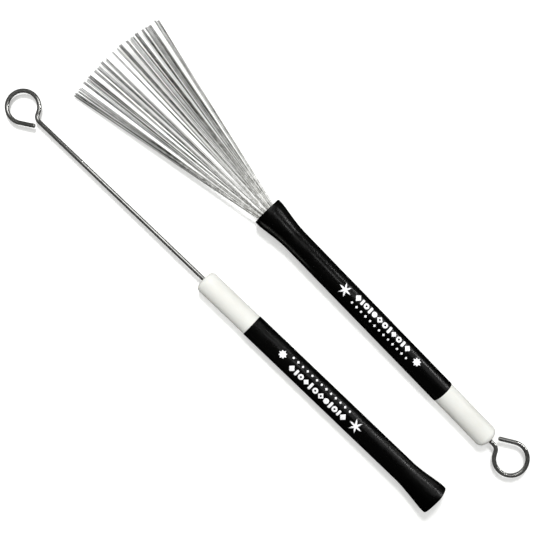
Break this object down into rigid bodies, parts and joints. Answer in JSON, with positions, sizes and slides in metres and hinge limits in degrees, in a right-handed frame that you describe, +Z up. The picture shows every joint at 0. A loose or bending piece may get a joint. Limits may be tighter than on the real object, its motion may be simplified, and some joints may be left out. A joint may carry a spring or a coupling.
{
  "type": "wire drum brushes",
  "caption": "Retractable wire brushes for drums: steel wires splay from a flared black grip; an eyed pull rod slides them out of and back into the handle.",
  "frame": {"origin": "on the surface the brushes lie on, under the middle of the pair", "axes": "+X along the brushes, from the fanned wires of the open brush to its pull ring; +Y from the shut brush to the open one; +Z up"},
  "size_m": [0.3562, 0.0977, 0.0182],
  "materials": {
    "tube_aluminium": "drawn tube, satin",
    "black_rubber": "smooth black vinyl rubber, glossy",
    "white_vinyl": "warm off-white vinyl, satin",
    "white_nylon": "natural nylon",
    "rod_steel": "bright drawn steel",
    "ferrule_metal": "crimped steel, satin",
    "solder": "dull grey solder",
    "ring_rubber": "black nitrile rubber",
    "wire_steel": "bright spring-steel wire"
  },
  "bodies": {
    "handles": {"handle_tube_a": "tube_aluminium", "grip_sleeve_a": "black_rubber", "end_cap_a": "white_vinyl", "guide_bush_a": "white_nylon", "handle_tube_b": "tube_aluminium", "grip_sleeve_b": "black_rubber", "end_cap_b": "white_vinyl", "guide_bush_b": "white_nylon"},
    "slug_a": {"guide_slug_a": "white_nylon", "friction_ring_a": "ring_rubber"},
    "rod_a": {"pull_rod_a": "rod_steel", "ferrule_a": "ferrule_metal", "wire_binder_a": "solder", "stop_collar_a": "rod_steel"},
    "tuft_a_01": {"wire_tuft_a_01": "wire_steel"},
    "tuft_a_02": {"wire_tuft_a_02": "wire_steel"},
    "tuft_a_03": {"wire_tuft_a_03": "wire_steel"},
    "tuft_a_04": {"wire_tuft_a_04": "wire_steel"},
    "tuft_a_05": {"wire_tuft_a_05": "wire_steel"},
    "tuft_a_06": {"wire_tuft_a_06": "wire_steel"},
    "tuft_a_07": {"wire_tuft_a_07": "wire_steel"},
    "tuft_a_08": {"wire_tuft_a_08": "wire_steel"},
    "tuft_a_09": {"wire_tuft_a_09": "wire_steel"},
    "tuft_a_10": {"wire_tuft_a_10": "wire_steel"},
    "tuft_a_11": {"wire_tuft_a_11": "wire_steel"},
    "tuft_a_12": {"wire_tuft_a_12": "wire_steel"},
    "tuft_a_13": {"wire_tuft_a_13": "wire_steel"},
    "tuft_a_14": {"wire_tuft_a_14": "wire_steel"},
    "tuft_a_15": {"wire_tuft_a_15": "wire_steel"},
    "slug_b": {"guide_slug_b": "white_nylon", "friction_ring_b": "ring_rubber"},
    "rod_b": {"pull_rod_b": "rod_steel", "ferrule_b": "ferrule_metal", "wire_binder_b": "solder", "stop_collar_b": "rod_steel"},
    "tuft_b_01": {"wire_tuft_b_01": "wire_steel"},
    "tuft_b_02": {"wire_tuft_b_02": "wire_steel"},
    "tuft_b_03": {"wire_tuft_b_03": "wire_steel"},
    "tuft_b_04": {"wire_tuft_b_04": "wire_steel"},
    "tuft_b_05": {"wire_tuft_b_05": "wire_steel"},
    "tuft_b_06": {"wire_tuft_b_06": "wire_steel"},
    "tuft_b_07": {"wire_tuft_b_07": "wire_steel"},
    "tuft_b_08": {"wire_tuft_b_08": "wire_steel"},
    "tuft_b_09": {"wire_tuft_b_09": "wire_steel"},
    "tuft_b_10": {"wire_tuft_b_10": "wire_steel"},
    "tuft_b_11": {"wire_tuft_b_11": "wire_steel"},
    "tuft_b_12": {"wire_tuft_b_12": "wire_steel"},
    "tuft_b_13": {"wire_tuft_b_13": "wire_steel"},
    "tuft_b_14": {"wire_tuft_b_14": "wire_steel"},
    "tuft_b_15": {"wire_tuft_b_15": "wire_steel"}
  },
  "joints": [
    {"name": "rod_slide_a", "type": "slide", "parent": "handles", "child": "slug_a", "axis": [0.9997, -0.0197, -0.0137], "range_m": [0, 0.1244]},
    {"name": "rod_turn_a", "type": "hinge", "parent": "slug_a", "child": "rod_a", "pos_m": [0.00041, 0.01639, 0.00871], "axis": [0.9997, -0.0197, -0.0137], "continuous": true},
    {"name": "tuft_spread_a_01", "type": "hinge", "parent": "rod_a", "child": "tuft_a_01", "pos_m": [-0.01588, 0.01481, 0.00799], "axis": [-0.0087, 0.2338, -0.9722], "range_deg": [0, 12.97], "deforming": ["wire_tuft_a_01"]},
    {"name": "tuft_spread_a_02", "type": "hinge", "parent": "rod_a", "child": "tuft_a_02", "pos_m": [-0.01587, 0.01481, 0.00894], "axis": [-0.0118, 0.0913, -0.9957], "range_deg": [0, 11.06], "deforming": ["wire_tuft_a_02"]},
    {"name": "tuft_spread_a_03", "type": "hinge", "parent": "rod_a", "child": "tuft_a_03", "pos_m": [-0.01586, 0.01481, 0.00989], "axis": [-0.0155, -0.0975, -0.9951], "range_deg": [0, 9.26], "deforming": ["wire_tuft_a_03"]},
    {"name": "tuft_spread_a_04", "type": "hinge", "parent": "rod_a", "child": "tuft_a_04", "pos_m": [-0.01587, 0.01576, 0.00799], "axis": [-0.0055, 0.3686, -0.9296], "range_deg": [0, 8.19], "deforming": ["wire_tuft_a_04"]},
    {"name": "tuft_spread_a_05", "type": "hinge", "parent": "rod_a", "child": "tuft_a_05", "pos_m": [-0.01585, 0.01576, 0.00894], "axis": [-0.0101, 0.1733, -0.9848], "range_deg": [0, 5.81], "deforming": ["wire_tuft_a_05"]},
    {"name": "tuft_spread_a_06", "type": "hinge", "parent": "rod_a", "child": "tuft_a_06", "pos_m": [-0.01584, 0.01576, 0.00989], "axis": [-0.0176, -0.2143, -0.9766], "range_deg": [0, 4.22], "deforming": ["wire_tuft_a_06"]},
    {"name": "tuft_spread_a_07", "type": "hinge", "parent": "rod_a", "child": "tuft_a_07", "pos_m": [-0.01585, 0.01671, 0.00799], "axis": [0.006, 0.7561, -0.6544], "range_deg": [0, 3.99], "deforming": ["wire_tuft_a_07"]},
    {"name": "tuft_spread_a_08", "type": "hinge", "parent": "rod_a", "child": "tuft_a_08", "pos_m": [-0.01583, 0.01671, 0.00894], "axis": [0.0055, 0.7434, -0.6688], "range_deg": [0, 1.36], "deforming": ["wire_tuft_a_08"]},
    {"name": "tuft_spread_a_09", "type": "hinge", "parent": "rod_a", "child": "tuft_a_09", "pos_m": [-0.01582, 0.01671, 0.00989], "axis": [-0.0019, -0.6334, 0.7738], "range_deg": [0, 1.44], "deforming": ["wire_tuft_a_09"]},
    {"name": "tuft_spread_a_10", "type": "hinge", "parent": "rod_a", "child": "tuft_a_10", "pos_m": [-0.01583, 0.01766, 0.00799], "axis": [0.0239, 0.7558, 0.6544], "range_deg": [0, 3.99], "deforming": ["wire_tuft_a_10"]},
    {"name": "tuft_spread_a_11", "type": "hinge", "parent": "rod_a", "child": "tuft_a_11", "pos_m": [-0.01581, 0.01766, 0.00894], "axis": [0.0178, 0.2264, 0.9739], "range_deg": [0, 4.43], "deforming": ["wire_tuft_a_11"]},
    {"name": "tuft_spread_a_12", "type": "hinge", "parent": "rod_a", "child": "tuft_a_12", "pos_m": [-0.0158, 0.01766, 0.00989], "axis": [0.0105, -0.1513, 0.9884], "range_deg": [0, 5.99], "deforming": ["wire_tuft_a_12"]},
    {"name": "tuft_spread_a_13", "type": "hinge", "parent": "rod_a", "child": "tuft_a_13", "pos_m": [-0.01581, 0.01861, 0.00799], "axis": [0.0198, 0.356, 0.9343], "range_deg": [0, 8.47], "deforming": ["wire_tuft_a_13"]},
    {"name": "tuft_spread_a_14", "type": "hinge", "parent": "rod_a", "child": "tuft_a_14", "pos_m": [-0.0158, 0.01861, 0.00894], "axis": [0.0156, 0.1007, 0.9948], "range_deg": [0, 9.97], "deforming": ["wire_tuft_a_14"]},
    {"name": "tuft_spread_a_15", "type": "hinge", "parent": "rod_a", "child": "tuft_a_15", "pos_m": [-0.01578, 0.01861, 0.00989], "axis": [0.0121, -0.0775, 0.9969], "range_deg": [0, 11.75], "deforming": ["wire_tuft_a_15"]},
    {"name": "rod_slide_b", "type": "slide", "parent": "handles", "child": "slug_b", "axis": [0.9997, 0.0178, 0.0137], "range_m": [0, 0.1244]},
    {"name": "rod_turn_b", "type": "hinge", "parent": "slug_b", "child": "rod_b", "pos_m": [-0.00063, -0.03485, 0.00701], "axis": [-0.9997, -0.0178, -0.0137], "continuous": true},
    {"name": "tuft_spread_b_01", "type": "hinge", "parent": "rod_b", "child": "tuft_b_01", "pos_m": [0.01559, -0.03266, 0.00628], "axis": [-0.0175, 0.2333, 0.9722], "range_deg": [0, 12.97], "deforming": ["wire_tuft_b_01"]},
    {"name": "tuft_spread_b_02", "type": "hinge", "parent": "rod_b", "child": "tuft_b_02", "pos_m": [0.01558, -0.03266, 0.00723], "axis": [-0.0152, 0.0908, 0.9957], "range_deg": [0, 11.06], "deforming": ["wire_tuft_b_02"]},
    {"name": "tuft_spread_b_03", "type": "hinge", "parent": "rod_b", "child": "tuft_b_03", "pos_m": [0.01557, -0.03266, 0.00818], "axis": [-0.0119, -0.098, 0.9951], "range_deg": [0, 9.26], "deforming": ["wire_tuft_b_03"]},
    {"name": "tuft_spread_b_04", "type": "hinge", "parent": "rod_b", "child": "tuft_b_04", "pos_m": [0.01561, -0.03361, 0.00628], "axis": [-0.0193, 0.3681, 0.9296], "range_deg": [0, 8.19], "deforming": ["wire_tuft_b_04"]},
    {"name": "tuft_spread_b_05", "type": "hinge", "parent": "rod_b", "child": "tuft_b_05", "pos_m": [0.0156, -0.03361, 0.00723], "axis": [-0.0166, 0.1728, 0.9848], "range_deg": [0, 5.81], "deforming": ["wire_tuft_b_05"]},
    {"name": "tuft_spread_b_06", "type": "hinge", "parent": "rod_b", "child": "tuft_b_06", "pos_m": [0.01558, -0.03361, 0.00818], "axis": [-0.0095, -0.2148, 0.9766], "range_deg": [0, 4.22], "deforming": ["wire_tuft_b_06"]},
    {"name": "tuft_spread_b_07", "type": "hinge", "parent": "rod_b", "child": "tuft_b_07", "pos_m": [0.01563, -0.03456, 0.00628], "axis": [-0.0224, 0.7558, 0.6544], "range_deg": [0, 3.99], "deforming": ["wire_tuft_b_07"]},
    {"name": "tuft_spread_b_08", "type": "hinge", "parent": "rod_b", "child": "tuft_b_08", "pos_m": [0.01561, -0.03456, 0.00723], "axis": [-0.0224, 0.7431, 0.6688], "range_deg": [0, 1.36], "deforming": ["wire_tuft_b_08"]},
    {"name": "tuft_spread_b_09", "type": "hinge", "parent": "rod_b", "child": "tuft_b_09", "pos_m": [0.0156, -0.03456, 0.00818], "axis": [0.0219, -0.633, -0.7738], "range_deg": [0, 1.44], "deforming": ["wire_tuft_b_09"]},
    {"name": "tuft_spread_b_10", "type": "hinge", "parent": "rod_b", "child": "tuft_b_10", "pos_m": [0.01564, -0.03551, 0.00628], "axis": [-0.0045, 0.7561, -0.6544], "range_deg": [0, 3.99], "deforming": ["wire_tuft_b_10"]},
    {"name": "tuft_spread_b_11", "type": "hinge", "parent": "rod_b", "child": "tuft_b_11", "pos_m": [0.01563, -0.03551, 0.00723], "axis": [0.0093, 0.2269, -0.9739], "range_deg": [0, 4.43], "deforming": ["wire_tuft_b_11"]},
    {"name": "tuft_spread_b_12", "type": "hinge", "parent": "rod_b", "child": "tuft_b_12", "pos_m": [0.01562, -0.03551, 0.00818], "axis": [0.0162, -0.1508, -0.9884], "range_deg": [0, 5.99], "deforming": ["wire_tuft_b_12"]},
    {"name": "tuft_spread_b_13", "type": "hinge", "parent": "rod_b", "child": "tuft_b_13", "pos_m": [0.01566, -0.03646, 0.00628], "axis": [0.0064, 0.3565, -0.9343], "range_deg": [0, 8.47], "deforming": ["wire_tuft_b_13"]},
    {"name": "tuft_spread_b_14", "type": "hinge", "parent": "rod_b", "child": "tuft_b_14", "pos_m": [0.01565, -0.03646, 0.00723], "axis": [0.0118, 0.1012, -0.9948], "range_deg": [0, 9.97], "deforming": ["wire_tuft_b_14"]},
    {"name": "tuft_spread_b_15", "type": "hinge", "parent": "rod_b", "child": "tuft_b_15", "pos_m": [0.01564, -0.03646, 0.00818], "axis": [0.015, -0.077, -0.9969], "range_deg": [0, 11.75], "deforming": ["wire_tuft_b_15"]}
  ],
  "couplings": [
    {"joint": "tuft_spread_a_01", "follows": "rod_slide_a", "rad_per_m": 1.8164},
    {"joint": "tuft_spread_a_02", "follows": "rod_slide_a", "rad_per_m": 1.5496},
    {"joint": "tuft_spread_a_03", "follows": "rod_slide_a", "rad_per_m": 1.2969},
    {"joint": "tuft_spread_a_04", "follows": "rod_slide_a", "rad_per_m": 1.1459},
    {"joint": "tuft_spread_a_05", "follows": "rod_slide_a", "rad_per_m": 0.81188},
    {"joint": "tuft_spread_a_06", "follows": "rod_slide_a", "rad_per_m": 0.5889},
    {"joint": "tuft_spread_a_07", "follows": "rod_slide_a", "rad_per_m": 0.55687},
    {"joint": "tuft_spread_a_08", "follows": "rod_slide_a", "rad_per_m": 0.18875},
    {"joint": "tuft_spread_a_09", "follows": "rod_slide_a", "rad_per_m": 0.1994},
    {"joint": "tuft_spread_a_10", "follows": "rod_slide_a", "rad_per_m": 0.55687},
    {"joint": "tuft_spread_a_11", "follows": "rod_slide_a", "rad_per_m": 0.61936},
    {"joint": "tuft_spread_a_12", "follows": "rod_slide_a", "rad_per_m": 0.83731},
    {"joint": "tuft_spread_a_13", "follows": "rod_slide_a", "rad_per_m": 1.1851},
    {"joint": "tuft_spread_a_14", "follows": "rod_slide_a", "rad_per_m": 1.396},
    {"joint": "tuft_spread_a_15", "follows": "rod_slide_a", "rad_per_m": 1.6463},
    {"joint": "tuft_spread_b_01", "follows": "rod_slide_b", "rad_per_m": 1.8164},
    {"joint": "tuft_spread_b_02", "follows": "rod_slide_b", "rad_per_m": 1.5496},
    {"joint": "tuft_spread_b_03", "follows": "rod_slide_b", "rad_per_m": 1.2969},
    {"joint": "tuft_spread_b_04", "follows": "rod_slide_b", "rad_per_m": 1.1459},
    {"joint": "tuft_spread_b_05", "follows": "rod_slide_b", "rad_per_m": 0.81188},
    {"joint": "tuft_spread_b_06", "follows": "rod_slide_b", "rad_per_m": 0.5889},
    {"joint": "tuft_spread_b_07", "follows": "rod_slide_b", "rad_per_m": 0.55687},
    {"joint": "tuft_spread_b_08", "follows": "rod_slide_b", "rad_per_m": 0.18875},
    {"joint": "tuft_spread_b_09", "follows": "rod_slide_b", "rad_per_m": 0.1994},
    {"joint": "tuft_spread_b_10", "follows": "rod_slide_b", "rad_per_m": 0.55687},
    {"joint": "tuft_spread_b_11", "follows": "rod_slide_b", "rad_per_m": 0.61936},
    {"joint": "tuft_spread_b_12", "follows": "rod_slide_b", "rad_per_m": 0.83731},
    {"joint": "tuft_spread_b_13", "follows": "rod_slide_b", "rad_per_m": 1.1851},
    {"joint": "tuft_spread_b_14", "follows": "rod_slide_b", "rad_per_m": 1.396},
    {"joint": "tuft_spread_b_15", "follows": "rod_slide_b", "rad_per_m": 1.6463}
  ]
}
